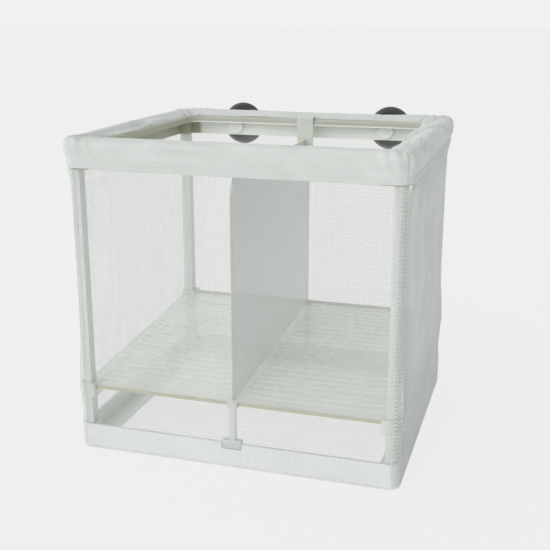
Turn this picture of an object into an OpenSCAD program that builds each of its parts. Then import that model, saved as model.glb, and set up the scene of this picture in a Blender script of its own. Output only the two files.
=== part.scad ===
// Net breeding box for an aquarium. Two moulded frames on four posts stand inside a sewn net bag.
// A sloping slotted floor rides on the posts, a divider hangs on the rear rim and stands on the floor,
// and two suction cups button into the rear wall of the top frame.
// Millimetres. Origin at the centre of the underside, +Z up, +Y towards the suction cups.

/* [Overall] */
// Width over the hem, side to side
box_w = 160; // [140:1:220]
// Depth over the hem, front to back
box_d = 142; // [120:1:200]
// Height from the underside to the top of the hem
box_h = 152; // [125:1:200]
// Radius of the upright corners of the frames
corner_r = 5; // [4:0.5:7]

/* [Frames] */
// Height of a frame's outer wall
wall_h = 12; // [10.5:0.5:16]
// Thickness of a frame's outer wall
wall_t = 1.6; // [1.4:0.1:2.2]
// Reach of a frame's ledge, from the outer face to the opening
ledge_w = 11; // [10:0.5:14]
// Thickness of the ledge
ledge_t = 1.4; // [1:0.1:2]
// Depth of the trough between the wall and the rim
trough_d = 1.5; // [1.4:0.1:2]
// Width of the rim round the opening
rim_w = 2.4; // [1.8:0.1:3]
// Height of the rim
rim_h = 4.2; // [3.6:0.1:6]
// How far the rim's nose lies below the top of the wall
rim_drop = 0.6; // [0.4:0.1:0.8]
// Corner radius of the opening
opening_r = 8; // [5:0.5:12]

/* [Posts] */
// Width of a post
post_w = 5.4; // [4.8:0.1:6.4]
// How far a post's outer faces lie inside the frames' outer faces
post_setback = 1.2; // [1:0.1:1.6]
// Width of the tenon on each end of a post
tenon_w = 3.4; // [2.6:0.1:3.8]
// Length of the tenon
tenon_l = 8; // [5:0.5:8.5]
// Wall of the sockets that take the tenons
socket_t = 1.7; // [1.2:0.1:2.4]

/* [Floor] */
// Height of the floor's upper face at its front edge
floor_front = 33; // [28:0.5:50]
// Height of the floor's upper face at its rear edge
floor_rear = 42; // [33:0.5:60]
// Thickness of the floor
floor_t = 1.8; // [1.4:0.1:3]
// Width of a slot
slot_w = 1.8; // [1.2:0.1:2.6]
// Distance from one slot to the next
slot_pitch = 5.6; // [4.5:0.1:9]
// Solid margin outside the slots
slot_margin = 4.5; // [3.5:0.5:8]
// Width of the solid bridge between the two rows of slots
bridge_w = 7; // [5:0.5:12]
// Height of the collars that ride on the posts
collar_h = 7; // [5:0.5:10]

/* [Struts] */
// Width of the strut's rod
rod_w = 3.2; // [2.4:0.1:4]
// Thickness of the rod, front to back
rod_t = 2.4; // [1.8:0.1:3]
// Width of the saddle that clips on the wall
saddle_w = 9.3; // [7:0.1:12]
// Height of the saddle's leg inside the wall
saddle_leg = 6; // [4:0.5:8]
// Thickness of the saddle
saddle_t = 1.4; // [1:0.1:2]
// Width of the head under the floor
head_w = 4.8; // [4.2:0.1:7]
// Reach of the head under the floor
head_reach = 4; // [3:0.5:8]
// Height of the tab that stands in front of the floor's edge
tab_h = 2.2; // [1.8:0.1:3]

/* [Divider] */
// Thickness of the divider
divider_t = 1; // [0.8:0.1:1.6]
// Radius of the divider's two upper corners
divider_r = 10; // [9:0.5:14]
// Width of the hook that hangs on the rear rim
hook_w = 9; // [7:0.5:14]
// Thickness of the hook
hook_t = 1.2; // [1:0.1:1.4]

/* [Net and hem] */
// Thickness of the net
net_t = 0.5; // [0.4:0.1:0.8]
// Thickness of the hem
hem_t = 0.6; // [0.5:0.1:1]
// Height of the hem's outer skirt
hem_h = 12.6; // [11:0.1:15]
// Width of the hem's flap beside the bare stretches of the rim
short_flap = 7.6; // [6:0.1:7.8]
// Length of the bare stretch of the rear rim
rear_bare = 124; // [80:1:126]
// Length of the bare stretch of the left rim
left_bare = 104; // [60:1:106]
// Thickness of the elastic under the hem
elastic_d = 1.1; // [0.8:0.1:1.2]
// Width of a strand of the net
strand_w = 1.2; // [0.8:0.1:2]
// Gaps across the front and rear net
gaps_wide = 8; // [4:2:8]
// Gaps across the side nets
gaps_deep = 6; // [4:2:6]
// Gaps up each wall of the net
gaps_high = 8; // [4:1:8]

/* [Suction cups] */
// Diameter of a cup
cup_d = 24; // [18:0.5:30]
// Distance of a cup's middle from the side of the box
cup_inset = 36; // [24:1:50]
// Reach of a cup behind the hem
cup_reach = 10; // [8:0.5:14]
// Diameter of the neck that passes through the wall
neck_d = 4.8; // [4:0.1:5.4]
// Diameter of the button inside the wall
button_d = 6.6; // [6:0.1:7]

/* [Hidden] */
$fn = 48;

// Clearances
cloth_gap = 0.3;
slide_gap = 0.3;
tenon_gap = 0.1;
fit_gap = 0.1;
floor_gap = 0.5;
button_gap = 0.4;
panel_gap = 0.05;
neck_gap = 0.1;
seam_gap = 0.1;
past = 1;

// Colours
PLASTIC = [0.86, 0.87, 0.82];
CLEAR = [0.74, 0.77, 0.74, 0.7];
NET = [0.82, 0.85, 0.83];
CLOTH = [0.85, 0.88, 0.85];
ELASTIC = [0.9, 0.9, 0.88];
RUBBER = [0.05, 0.05, 0.055];

// Half sizes and levels of the frames
frame_x = box_w / 2 - hem_t - cloth_gap;
frame_y = box_d / 2 - hem_t - cloth_gap;
frame_low = net_t + cloth_gap;
frame_top = box_h - hem_t - cloth_gap;
open_x = frame_x - ledge_w;
open_y = frame_y - ledge_w;
low_wall_top = frame_low + wall_h;
top_wall_low = frame_top - wall_h;
ledge_under = frame_top - trough_d - ledge_t;
rim_top = frame_top - rim_drop;

// Inner faces of the cloth
cloth_x = frame_x + cloth_gap;
cloth_y = frame_y + cloth_gap;
cloth_r = corner_r + cloth_gap;
hem_low = box_h - hem_h;

// Posts
post_x = frame_x - post_setback;
post_y = frame_y - post_setback;
post_r = corner_r - post_setback;
tenon_in = (post_w - tenon_w) / 2;
socket_w = tenon_in + tenon_w + tenon_gap + socket_t;

// Floor
floor_x = frame_x - wall_t - floor_gap;
floor_y = frame_y - wall_t - floor_gap;
floor_mid = (floor_front + floor_rear) / 2;
floor_slope = atan((floor_rear - floor_front) / (2 * floor_y));
floor_len = floor_y / cos(floor_slope);
collar_up = 1;
collar_wall = 1;
collar_gap = 0.1;
slot_rows = floor((2 * floor_len - 2 * slot_margin - slot_w) / slot_pitch) + 1;

// Struts
head_t = 1.2;
tab_t = 0.8;

// Divider and its hook
divider_inset = 1.2;
divider_y = floor_y - divider_inset;
divider_top = top_wall_low - fit_gap;
hook_grip = 3.5;
hook_in = open_y - slide_gap;
hook_out = open_y + rim_w + slide_gap;
hook_top = rim_top + slide_gap + hook_t;
trough_floor = frame_top - trough_d;

// Notch in the lower wall, front and rear, where a strut's saddle sits flush
notch_d = wall_t / 2;
notch_h = 3;

// Suction cups
cup_x = box_w / 2 - cup_inset;
button_l = 1.8;
shoulder_w = 2.2;
lip_w = 0.8;
cup_z = ledge_under - button_d / 2 - button_gap;
cup_seat = box_d / 2 + slide_gap;
cup_face = box_d / 2 + cup_reach;
button_face = frame_y - wall_t - slide_gap;

// Blind socket inside the rear wall, round each cup's button
boss_t = 0.8;
boss_edge = 0.6;
boss_hole_r = button_d / 2 + slide_gap;
boss_r = min(boss_hole_r + boss_t, cup_z - top_wall_low);
boss_hole_l = button_l + 2 * slide_gap;
boss_l = boss_hole_l + boss_t;

function floor_z(y) = floor_mid + y * tan(floor_slope);

// Shapes shared by several parts
module rounded_rect(x, y, r) {
    square([2 * (x - r), 2 * y], center = true);
    square([2 * x, 2 * (y - r)], center = true);
    for (sx = [-1, 1], sy = [-1, 1])
        translate([sx * (x - r), sy * (y - r)]) circle(r);
}

module ring_2d(x, y, r, t) {
    difference() {
        rounded_rect(x, y, r);
        rounded_rect(x - t, y - t, r - t);
    }
}

// Section of a post in the corner towards sx, sy, grown by g on every side
module post_section(sx, sy, g) {
    intersection() {
        rounded_rect(post_x + g, post_y + g, post_r + g);
        translate([sx * (post_x - post_w / 2), sy * (post_y - post_w / 2)])
            square(post_w + 2 * g, center = true);
    }
}

module tenon_section(sx, sy, g) {
    translate([sx * (post_x - post_w / 2), sy * (post_y - post_w / 2)])
        square(tenon_w + 2 * g, center = true);
}

// Rim profile: a flat bar whose nose is a half round, nose down
module rim_profile() {
    nose = rim_w / 2;
    translate([nose, rim_drop + nose]) circle(nose);
    translate([0, rim_drop + nose]) square([rim_w, rim_h - rim_drop - nose]);
}

module rim() {
    straight_x = open_x - opening_r;
    straight_y = open_y - opening_r;
    for (s = [0, 1]) {
        rotate([0, 0, 180 * s]) {
            translate([-straight_x, open_y, 0]) rotate([90, 0, 90])
                linear_extrude(2 * straight_x) rim_profile();
            translate([open_x, straight_y, 0]) rotate([90, 0, 0])
                linear_extrude(2 * straight_y) rim_profile();
        }
    }
    for (sx = [-1, 1], sy = [-1, 1])
        translate([sx * straight_x, sy * straight_y, 0])
            rotate([0, 0, 90 * (sy > 0 ? (sx > 0 ? 0 : 1) : (sx > 0 ? 3 : 2))])
                rotate_extrude(angle = 90) translate([opening_r, 0]) rim_profile();
}

// One frame lying on its trough, wall upwards
module frame_shell() {
    difference() {
        union() {
            linear_extrude(wall_h) ring_2d(frame_x, frame_y, corner_r, wall_t);
            translate([0, 0, trough_d]) linear_extrude(ledge_t) difference() {
                rounded_rect(frame_x - wall_t / 2, frame_y - wall_t / 2, corner_r - wall_t / 2);
                rounded_rect(open_x + rim_w / 2, open_y + rim_w / 2, opening_r + rim_w / 2);
            }
            rim();
            translate([0, 0, trough_d + ledge_t / 2]) linear_extrude(wall_h - trough_d - ledge_t / 2)
                intersection() {
                    rounded_rect(frame_x - wall_t / 2, frame_y - wall_t / 2, corner_r - wall_t / 2);
                    for (sx = [-1, 1], sy = [-1, 1])
                        translate([sx * (post_x - socket_w / 2 + post_setback / 2),
                                   sy * (post_y - socket_w / 2 + post_setback / 2)])
                            square(socket_w + post_setback, center = true);
                }
        }
        for (sx = [-1, 1], sy = [-1, 1])
            translate([0, 0, wall_h - tenon_l - tenon_gap]) linear_extrude(tenon_l + past)
                tenon_section(sx, sy, tenon_gap);
    }
}

// Boss on the inside of the rear wall, its axis up, that closes the socket of a cup's button
module cup_boss() {
    translate([0, 0, -wall_t / 2]) cylinder(r = boss_r, h = boss_l - boss_edge + wall_t / 2);
    translate([0, 0, boss_l - boss_edge])
        cylinder(r1 = boss_r, r2 = boss_r - boss_edge, h = boss_edge);
}

// Room for a cup's button and neck, its axis up and the wall's inner face at 0
module cup_socket() {
    cylinder(r = boss_hole_r, h = boss_hole_l);
    translate([0, 0, -wall_t - past]) cylinder(d = neck_d + 2 * neck_gap, h = wall_t + 2 * past);
}

module at_cups() {
    for (s = [-1, 1])
        translate([s * cup_x, frame_y - wall_t, cup_z]) rotate([90, 0, 0]) children();
}

module top_frame() {
    color(PLASTIC) difference() {
        union() {
            translate([0, 0, frame_top]) mirror([0, 0, 1]) frame_shell();
            at_cups() cup_boss();
        }
        at_cups() cup_socket();
    }
}

module bottom_frame() {
    color(PLASTIC) difference() {
        translate([0, 0, frame_low]) frame_shell();
        for (s = [-1, 1])
            translate([-saddle_w / 2 - slide_gap, s * (frame_y + past / 2 - notch_d / 2) - (notch_d + past) / 2,
                       low_wall_top - notch_h])
                cube([saddle_w + 2 * slide_gap, notch_d + past, notch_h + past]);
    }
}

module post(sx, sy) {
    color(PLASTIC) {
        translate([0, 0, low_wall_top]) linear_extrude(top_wall_low - low_wall_top)
            post_section(sx, sy, 0);
        translate([0, 0, low_wall_top - tenon_l])
            linear_extrude(top_wall_low - low_wall_top + 2 * tenon_l) tenon_section(sx, sy, 0);
    }
}

module slot() {
    run = floor_x - slot_margin - bridge_w / 2 - slot_w;
    translate([bridge_w / 2 + slot_w / 2, -slot_w / 2]) square([run, slot_w]);
    for (x = [0, run])
        translate([bridge_w / 2 + slot_w / 2 + x, 0]) circle(d = slot_w, $fn = 16);
}

module floor_plate() {
    translate([0, 0, floor_mid]) rotate([floor_slope, 0, 0]) translate([0, 0, -floor_t])
        linear_extrude(floor_t) difference() {
            rounded_rect(floor_x, floor_len, corner_r - wall_t);
            for (i = [0 : slot_rows - 1], side = [0, 1])
                translate([0, (i - (slot_rows - 1) / 2) * slot_pitch]) mirror([side, 0]) slot();
        }
}

module collar(sx, sy) {
    reach = post_w + 2 * post_setback + collar_wall;
    translate([0, 0, floor_z(sy * (post_y - post_w / 2)) + collar_up - collar_h])
        linear_extrude(collar_h) intersection() {
            rounded_rect(frame_x - collar_gap, frame_y - collar_gap, corner_r - collar_gap);
            translate([sx * (frame_x - reach / 2), sy * (frame_y - reach / 2)])
                square(reach, center = true);
        }
}

module slotted_floor() {
    color(CLEAR) difference() {
        union() {
            floor_plate();
            for (sx = [-1, 1], sy = [-1, 1]) collar(sx, sy);
        }
        for (sx = [-1, 1], sy = [-1, 1])
            translate([0, 0, floor_front - 2 * collar_h])
                linear_extrude(floor_rear - floor_front + 4 * collar_h) post_section(sx, sy, slide_gap);
    }
}

// A strut at the front wall, whose head carries the floor's edge at the height under
module strut(under) {
    inner = -frame_y + wall_t + fit_gap;
    rod_y = inner + saddle_t - rod_t;
    saddle_top = low_wall_top + saddle_t;
    saddle_low = low_wall_top - notch_h + slide_gap;
    head_y = -floor_y - slide_gap - tab_t;
    translate([-saddle_w / 2, inner, low_wall_top - saddle_leg])
        cube([saddle_w, saddle_t, saddle_leg + saddle_t]);
    translate([-saddle_w / 2, -frame_y, low_wall_top])
        cube([saddle_w, wall_t + saddle_t, saddle_t]);
    translate([-saddle_w / 2, -frame_y, saddle_low])
        cube([saddle_w, notch_d - fit_gap, saddle_top - saddle_low]);
    translate([-rod_w / 2, rod_y, low_wall_top]) cube([rod_w, rod_t, under - low_wall_top]);
    translate([-head_w / 2, head_y, under - head_t]) cube([head_w, head_reach + tab_t, head_t]);
    translate([-head_w / 2, head_y, under - head_t]) cube([head_w, tab_t, head_t + tab_h]);
}

// Height of the floor's lower face at y
function under_floor(y) = floor_z(y) - floor_t / cos(floor_slope) - fit_gap;

module strut_front() {
    color(PLASTIC) strut(under_floor(-floor_y));
}

module strut_rear() {
    color(PLASTIC) mirror([0, 1, 0]) strut(under_floor(floor_y - head_reach));
}

module divider_outline() {
    base = slide_gap;
    polygon([
        [-divider_y, floor_z(-divider_y) + base],
        [divider_y, floor_z(divider_y) + base],
        [divider_y, divider_top - divider_r],
        [-divider_y, divider_top - divider_r]
    ]);
    translate([-divider_y + divider_r, floor_rear + base])
        square([2 * (divider_y - divider_r), divider_top - floor_rear - base]);
    for (s = [-1, 1])
        translate([s * (divider_y - divider_r), divider_top - divider_r]) circle(divider_r);
}

module divider_panel() {
    color(CLEAR) translate([-divider_t / 2, 0, 0]) rotate([90, 0, 90])
        linear_extrude(divider_t) divider_outline();
}

// Over the rear rim, down into the trough, with a fork that grips the divider's top edge
module divider_hook() {
    color(PLASTIC) difference() {
        translate([-hook_w / 2, 0, 0]) rotate([90, 0, 90]) linear_extrude(hook_w) union() {
            translate([hook_in - hook_t, divider_top - hook_grip])
                square([hook_t, hook_top - divider_top + hook_grip]);
            translate([hook_in - hook_t, hook_top - hook_t])
                square([hook_out - hook_in + 2 * hook_t, hook_t]);
            translate([hook_out, trough_floor + slide_gap])
                square([hook_t, hook_top - trough_floor - slide_gap]);
        }
        translate([-divider_t / 2 - panel_gap, hook_in - hook_t - past, divider_top - hook_grip - past])
            cube([divider_t + 2 * panel_gap, hook_t + 2 * past, hook_grip + past + panel_gap]);
    }
}

// Half section of a cup, radius across and distance from the wall up
module cup_section() {
    bell = cup_face - cup_seat;
    shoulder_r = neck_d / 2 + shoulder_w;
    shoulder_l = 0.28 * bell;
    hollow = 0.45 * bell;
    steps = 8;
    rise = bell - shoulder_l - lip_w;
    polygon(concat(
        [[0, button_face - button_l]],
        [for (a = [30 : 30 : 90])
            [button_d / 2 * sin(a), button_face - button_l / 2 - button_l / 2 * cos(a)]],
        [[button_d / 2, button_face], [neck_d / 2, button_face], [neck_d / 2, cup_seat]],
        [[shoulder_r, cup_seat]],
        [for (i = [0 : steps])
            [shoulder_r + (cup_d / 2 - shoulder_r) * sin(90 * i / steps),
             cup_seat + shoulder_l + rise * (1 - cos(90 * i / steps))]],
        [[cup_d / 2, cup_face], [cup_d / 2 - lip_w, cup_face]],
        [for (i = [1 : steps])
            [(cup_d / 2 - lip_w) * cos(90 * i / steps), cup_face - hollow * sin(90 * i / steps)]]
    ));
}

module suction_cup(side) {
    color(RUBBER) translate([side * cup_x, 0, cup_z]) rotate([-90, 0, 0])
        rotate_extrude() cup_section();
}

// Flat net, w across and h up, with a border and even gaps
module gaps_2d(w, h, cols, rows) {
    gap_w = (w - strand_w) / cols - strand_w;
    gap_h = (h - strand_w) / rows - strand_w;
    for (i = [0 : cols - 1], j = [0 : rows - 1])
        translate([-w / 2 + strand_w + i * (gap_w + strand_w), strand_w + j * (gap_h + strand_w)])
            square([gap_w, gap_h]);
}

module net_wall(w, cols) {
    rotate([90, 0, 0]) linear_extrude(net_t) difference() {
        translate([-w / 2, 0]) square([w, hem_low]);
        gaps_2d(w, hem_low, cols, gaps_high);
    }
}

module net_across(side) {
    color(NET) rotate([0, 0, side > 0 ? 180 : 0]) translate([0, -cloth_y, 0])
        net_wall(2 * (cloth_x - cloth_r), gaps_wide);
}

module net_deep(side) {
    color(NET) rotate([0, 0, side > 0 ? 90 : -90]) translate([0, -cloth_x, 0])
        net_wall(2 * (cloth_y - cloth_r), gaps_deep);
}

module net_bottom() {
    inset = 3;
    w = 2 * (cloth_x - inset);
    d = 2 * (cloth_y - inset);
    color(NET) linear_extrude(net_t) difference() {
        rounded_rect(cloth_x - seam_gap, cloth_y - seam_gap, cloth_r - seam_gap);
        translate([0, -d / 2]) gaps_2d(w, d, gaps_wide, gaps_deep);
    }
}

module net_seam(sx, sy) {
    color(NET) linear_extrude(hem_low) intersection() {
        ring_2d(cloth_x + net_t, cloth_y + net_t, cloth_r + net_t, net_t);
        translate([sx * cloth_x, sy * cloth_y]) square(2 * cloth_r, center = true);
    }
}

// Side of the box that a hem strip covers, mitred at the corners; the front is at 0
module mitre(turn) {
    half_w = turn % 2 == 0 ? box_w / 2 : box_d / 2;
    half_d = turn % 2 == 0 ? box_d / 2 : box_w / 2;
    reach = min(half_w, half_d) - 1;
    rotate([0, 0, 90 * turn]) polygon([
        [-half_w - past, -half_d - past],
        [half_w + past, -half_d - past],
        [half_w - reach, -half_d + reach],
        [-half_w + reach, -half_d + reach]
    ]);
}

module hem(turn) {
    translate([0, 0, hem_low]) linear_extrude(hem_h) intersection() {
        ring_2d(box_w / 2, box_d / 2, cloth_r + hem_t, hem_t);
        mitre(turn);
    }
    translate([0, 0, box_h - hem_t]) linear_extrude(hem_t) intersection() {
        difference() {
            rounded_rect(box_w / 2 - hem_t / 2, box_d / 2 - hem_t / 2, cloth_r + hem_t / 2);
            rounded_rect(open_x, open_y, opening_r);
            if (turn == 2) square([rear_bare, box_d - 2 * short_flap], center = true);
            if (turn == 3) square([box_w - 2 * short_flap, left_bare], center = true);
        }
        mitre(turn);
    }
}

module hem_rear() {
    color(CLOTH) difference() {
        hem(2);
        for (s = [-1, 1])
            translate([s * cup_x, cloth_y - past, cup_z]) rotate([-90, 0, 0])
                cylinder(d = neck_d + 1, h = hem_t + 2 * past);
    }
}

// A round cord that lies in the top frame's trough, under the hem
module hem_elastic() {
    in = wall_t + (ledge_w - wall_t - rim_w) / 2;
    x = frame_x - in;
    y = frame_y - in;
    r = corner_r + 1;
    color(ELASTIC) translate([0, 0, trough_floor + elastic_d / 2 + 0.1]) {
        for (s = [-1, 1]) {
            translate([-(x - r), s * y, 0]) rotate([0, 90, 0]) cylinder(d = elastic_d, h = 2 * (x - r));
            translate([s * x, y - r, 0]) rotate([90, 0, 0]) cylinder(d = elastic_d, h = 2 * (y - r));
        }
        for (sx = [-1, 1], sy = [-1, 1])
            translate([sx * (x - r), sy * (y - r), 0])
                rotate([0, 0, 90 * (sy > 0 ? (sx > 0 ? 0 : 1) : (sx > 0 ? 3 : 2))])
                    rotate_extrude(angle = 90) translate([r, 0]) circle(d = elastic_d);
    }
}

top_frame();
bottom_frame();
post(-1, -1);  // post_front_left
post(1, -1);  // post_front_right
post(-1, 1);  // post_rear_left
post(1, 1);  // post_rear_right
slotted_floor();
strut_front();
strut_rear();
divider_panel();
divider_hook();
suction_cup(-1);  // suction_cup_left
suction_cup(1);  // suction_cup_right
net_across(-1);  // net_front
net_across(1);  // net_rear
net_deep(-1);  // net_left
net_deep(1);  // net_right
net_bottom();
net_seam(-1, -1);  // net_seam_front_left
net_seam(1, -1);  // net_seam_front_right
net_seam(-1, 1);  // net_seam_rear_left
net_seam(1, 1);  // net_seam_rear_right
color(CLOTH) hem(0);  // hem_front
color(CLOTH) hem(1);  // hem_right
hem_rear();
color(CLOTH) hem(3);  // hem_left
hem_elastic();
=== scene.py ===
"""Looks of the net breeding box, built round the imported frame.

Metres, +Z up, +Y towards the suction cups. Soft parts replace their CAD nodes: net panels of real
threads, seams and stitches, a sewn hem of dense cloth, the elastic and the cups. The moulded parts
keep their CAD shapes.
"""
import math

import bpy
import numpy as np
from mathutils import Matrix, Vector


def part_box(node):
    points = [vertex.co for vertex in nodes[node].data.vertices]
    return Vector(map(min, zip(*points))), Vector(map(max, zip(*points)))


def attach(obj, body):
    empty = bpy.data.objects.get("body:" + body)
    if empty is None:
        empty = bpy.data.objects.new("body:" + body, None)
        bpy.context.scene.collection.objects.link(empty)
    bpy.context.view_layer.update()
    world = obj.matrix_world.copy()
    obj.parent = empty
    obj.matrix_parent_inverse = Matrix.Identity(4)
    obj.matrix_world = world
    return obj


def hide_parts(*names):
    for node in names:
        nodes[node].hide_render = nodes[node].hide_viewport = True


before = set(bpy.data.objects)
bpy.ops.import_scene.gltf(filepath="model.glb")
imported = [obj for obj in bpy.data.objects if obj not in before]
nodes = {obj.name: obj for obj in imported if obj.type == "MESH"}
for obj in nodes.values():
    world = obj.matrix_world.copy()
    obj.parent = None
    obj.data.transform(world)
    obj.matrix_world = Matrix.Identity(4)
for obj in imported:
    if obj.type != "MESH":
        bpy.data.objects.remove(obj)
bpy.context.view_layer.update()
scene = bpy.context.scene
MM = 0.001
FRONT, RIGHT, REAR, LEFT = range(4)
SIDE_NAMES = ("front", "right", "rear", "left")

# Sizes of the frames, read from their CAD nodes
frame_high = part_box("top_frame")[1]
FRAME_TOP = frame_high.z
LOW_WALL_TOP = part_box("bottom_frame")[1].z
HEM_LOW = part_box("hem_front")[0].z
CORNER_R = 5 * MM
CORNER_X = frame_high.x - CORNER_R
CORNER_Y = frame_high.y - CORNER_R
LEDGE = 11 * MM
OPENING_R = 8 * MM
OPEN_X = frame_high.x - LEDGE
OPEN_Y = frame_high.y - LEDGE

# Net
PITCH = 0.56 * MM
THREAD_R = 0.045 * MM
RIB = 2.4
RUNG = 1.9 * MM
BOTTOM_PITCH = 0.9 * MM
BOTTOM_R = 0.054 * MM
NET_TOP = HEM_LOW + 1.6 * MM
NET_FLAT_LOW = 0.3 * MM
BOTTOM_TURN = 4.4 * MM

# Stand-off of the net from the line through the corner centres, by height
POST_FRONT = [
    (0.30, 4.40), (0.55, 4.85), (1.3, 5.13), (13.0, 5.15), (19.0, 4.75), (25.5, 5.20), (30.5, 5.65),
    (36.0, 5.45), (43.0, 5.05), (52.0, 4.30), (66.0, 4.02), (118.0, 3.98), (133.0, 4.25), (138.9, 5.12),
    (150.0, 5.15),
]
POST_REAR = [
    (0.30, 4.40), (0.55, 4.85), (1.3, 5.13), (13.0, 5.15), (22.0, 4.50), (33.0, 5.10), (39.0, 5.65),
    (44.5, 5.45), (51.0, 5.05), (60.0, 4.30), (74.0, 4.02), (118.0, 3.98), (133.0, 4.25), (138.9, 5.12),
    (150.0, 5.15),
]
MIDDLE = [
    (0.30, 4.40), (0.55, 4.85), (1.3, 5.13), (14.5, 5.15), (32.0, 4.95), (70.0, 4.72), (105.0, 4.72),
    (138.9, 5.12), (150.0, 5.15),
]
POST_REACH = 15 * MM


# Shape helpers
def ease(x, knots):
    """The value at x, both in millimetres, easing from knot to knot."""
    at, value = np.array(knots, float).T
    i = np.clip(np.searchsorted(at, x) - 1, 0, len(at) - 2)
    t = np.clip((x - at[i]) / (at[i + 1] - at[i]), 0, 1)
    return value[i] + (value[i + 1] - value[i]) * t * t * (3 - 2 * t)


def step(low, high, x):
    t = np.clip((x - low) / (high - low), 0, 1)
    return t * t * (3 - 2 * t)


def unit(v):
    return v / np.maximum(np.linalg.norm(v, axis=-1, keepdims=True), 1e-12)


def turned(side, x, y, z):
    """Points of the front side, turned to another side."""
    c, s = ((1, 0), (0, 1), (-1, 0), (0, -1))[side]
    x, y, z = np.broadcast_arrays(x, y, z)
    return np.stack([c * x - s * y, s * x + c * y, z], -1)


def half_sizes(side):
    """Half a side's straight length, and how far its corner centres lie from the middle."""
    return (CORNER_X, CORNER_Y) if side in (FRONT, REAR) else (CORNER_Y, CORNER_X)


def on_wall(side, along, angle, out, z):
    """Points out from the line through the corner centres. angle is past a corner's start."""
    depth = half_sizes(side)[1]
    return turned(side, along + out * np.sin(angle), -depth - out * np.cos(angle), z)


def wall_normal(side, angle, z):
    return turned(side, np.sin(angle) + 0 * z, -np.cos(angle) + 0 * z, 0 * z)


def net_out(side, along, z):
    """How far the net stands out: on the posts, pushed out by the floor's collars, loose between."""
    half, depth = half_sizes(side)
    level = z / MM
    y = turned(side, along, -depth, z)[..., 1]
    at_post = np.where(y < 0, ease(level, POST_FRONT), ease(level, POST_REAR))
    near = np.exp(-(((half - np.abs(along)) / POST_REACH) ** 2))
    middle = ease(level, MIDDLE)
    free = step(14, 40, level) * step(137, 118, level) * (1 - near)
    run = along / MM + 37 * side
    folds = 0.07 * np.sin(run / 5.6 + level / 31) + 0.12 * np.sin(run / 11.7 - level / 47 + 1.3)
    return (middle + (at_post - middle) * near + free * folds) * MM


# Mesh building
def tubes(centre, normal, radius, sides=3):
    """Closed tubes. centre and normal are arrays of tube, point and coordinate."""
    count, length, _ = centre.shape
    normal = np.broadcast_to(normal, centre.shape)
    tangent = unit(np.gradient(centre, axis=1))
    across = unit(np.cross(tangent, normal))
    up = np.cross(across, tangent)
    turn = 2 * math.pi * np.arange(sides) / sides
    radius = np.broadcast_to(radius, (count, length))[:, :, None, None]
    ring = centre[:, :, None] + radius * (
        np.cos(turn)[:, None] * up[:, :, None] + np.sin(turn)[:, None] * across[:, :, None]
    )
    index = np.arange(count * length * sides).reshape(count, length, sides)
    a, b = index[:, :-1], index[:, 1:]
    quads = np.stack([a, np.roll(a, -1, 2), np.roll(b, -1, 2), b], -1).reshape(-1, 4)
    return ring.reshape(-1, 3), [quads, index[:, 0, ::-1], index[:, -1]]


def grid_faces(rows, columns, start=0, flip=False):
    index = start + np.arange(rows * columns).reshape(rows, columns)
    quads = np.stack([index[:-1, :-1], index[:-1, 1:], index[1:, 1:], index[1:, :-1]], -1).reshape(-1, 4)
    return quads[:, ::-1] if flip else quads


def cloth_shell(middle, thickness, keep=None):
    """A closed shell about a grid of points: two faces and a rounded edge. keep marks the quads."""
    rows, columns, _ = middle.shape
    normal = unit(np.cross(np.gradient(middle, axis=1), np.gradient(middle, axis=0)))
    top = middle + normal * thickness / 2
    low = middle - normal * thickness / 2
    points = np.concatenate([top.reshape(-1, 3), low.reshape(-1, 3)])
    upper = grid_faces(rows, columns, 0, True)
    lower = grid_faces(rows, columns, rows * columns)
    if keep is not None:
        upper, lower = upper[keep.ravel()], lower[keep.ravel()]
    used = np.sort(np.stack([upper, np.roll(upper, -1, 1)], -1).reshape(-1, 2), 1)
    pairs = np.stack([upper, np.roll(upper, -1, 1)], -1).reshape(-1, 2)
    _, first, count = np.unique(used, axis=0, return_index=True, return_counts=True)
    rim = pairs[first[count == 1]]
    shift = rows * columns
    edge = np.stack([rim[:, 1], rim[:, 0], rim[:, 0] + shift, rim[:, 1] + shift], -1)
    return points, [upper, lower, edge]


def make_piece(name, parts, material, smooth=True, body="box"):
    """One mesh object from parts of points and faces, riding on a body."""
    start, points, counts, loops = 0, [], [], []
    for part_points, part_faces in parts:
        points.append(part_points)
        for faces in part_faces:
            counts.append(np.full(len(faces), faces.shape[1]))
            loops.append((faces + start).ravel())
        start += len(part_points)
    points, counts, loops = np.concatenate(points), np.concatenate(counts), np.concatenate(loops)
    mesh = bpy.data.meshes.new(name)
    mesh.vertices.add(len(points))
    mesh.vertices.foreach_set("co", points.astype(np.float32).ravel())
    mesh.loops.add(len(loops))
    mesh.loops.foreach_set("vertex_index", loops.astype(np.int32))
    mesh.polygons.add(len(counts))
    mesh.polygons.foreach_set("loop_start", (np.cumsum(counts) - counts).astype(np.int32))
    mesh.polygons.foreach_set("use_smooth", np.full(len(counts), smooth))
    mesh.update(calc_edges=True)
    mesh.validate()
    mesh.materials.append(material)
    piece = bpy.data.objects.new(name, mesh)
    scene.collection.objects.link(piece)
    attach(piece, body)
    return piece


def add_uv(piece, name, uv):
    """A map from two numbers per vertex."""
    mesh = piece.data
    layer = mesh.uv_layers.new(name=name)
    corner = np.empty(len(mesh.loops), np.int32)
    mesh.loops.foreach_get("vertex_index", corner)
    layer.uv.foreach_set("vector", uv[corner].astype(np.float32).ravel())


def resample(points, distance):
    """Places and directions every distance along a line of points, and the step between them."""
    gaps = np.linalg.norm(np.diff(points, axis=0), axis=1)
    run = np.concatenate([[0], np.cumsum(gaps)])
    count = max(2, int(round(run[-1] / distance)))
    at = np.linspace(0, run[-1], count + 1)
    return np.stack([np.interp(at, run, points[:, k]) for k in range(3)], -1)


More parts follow.
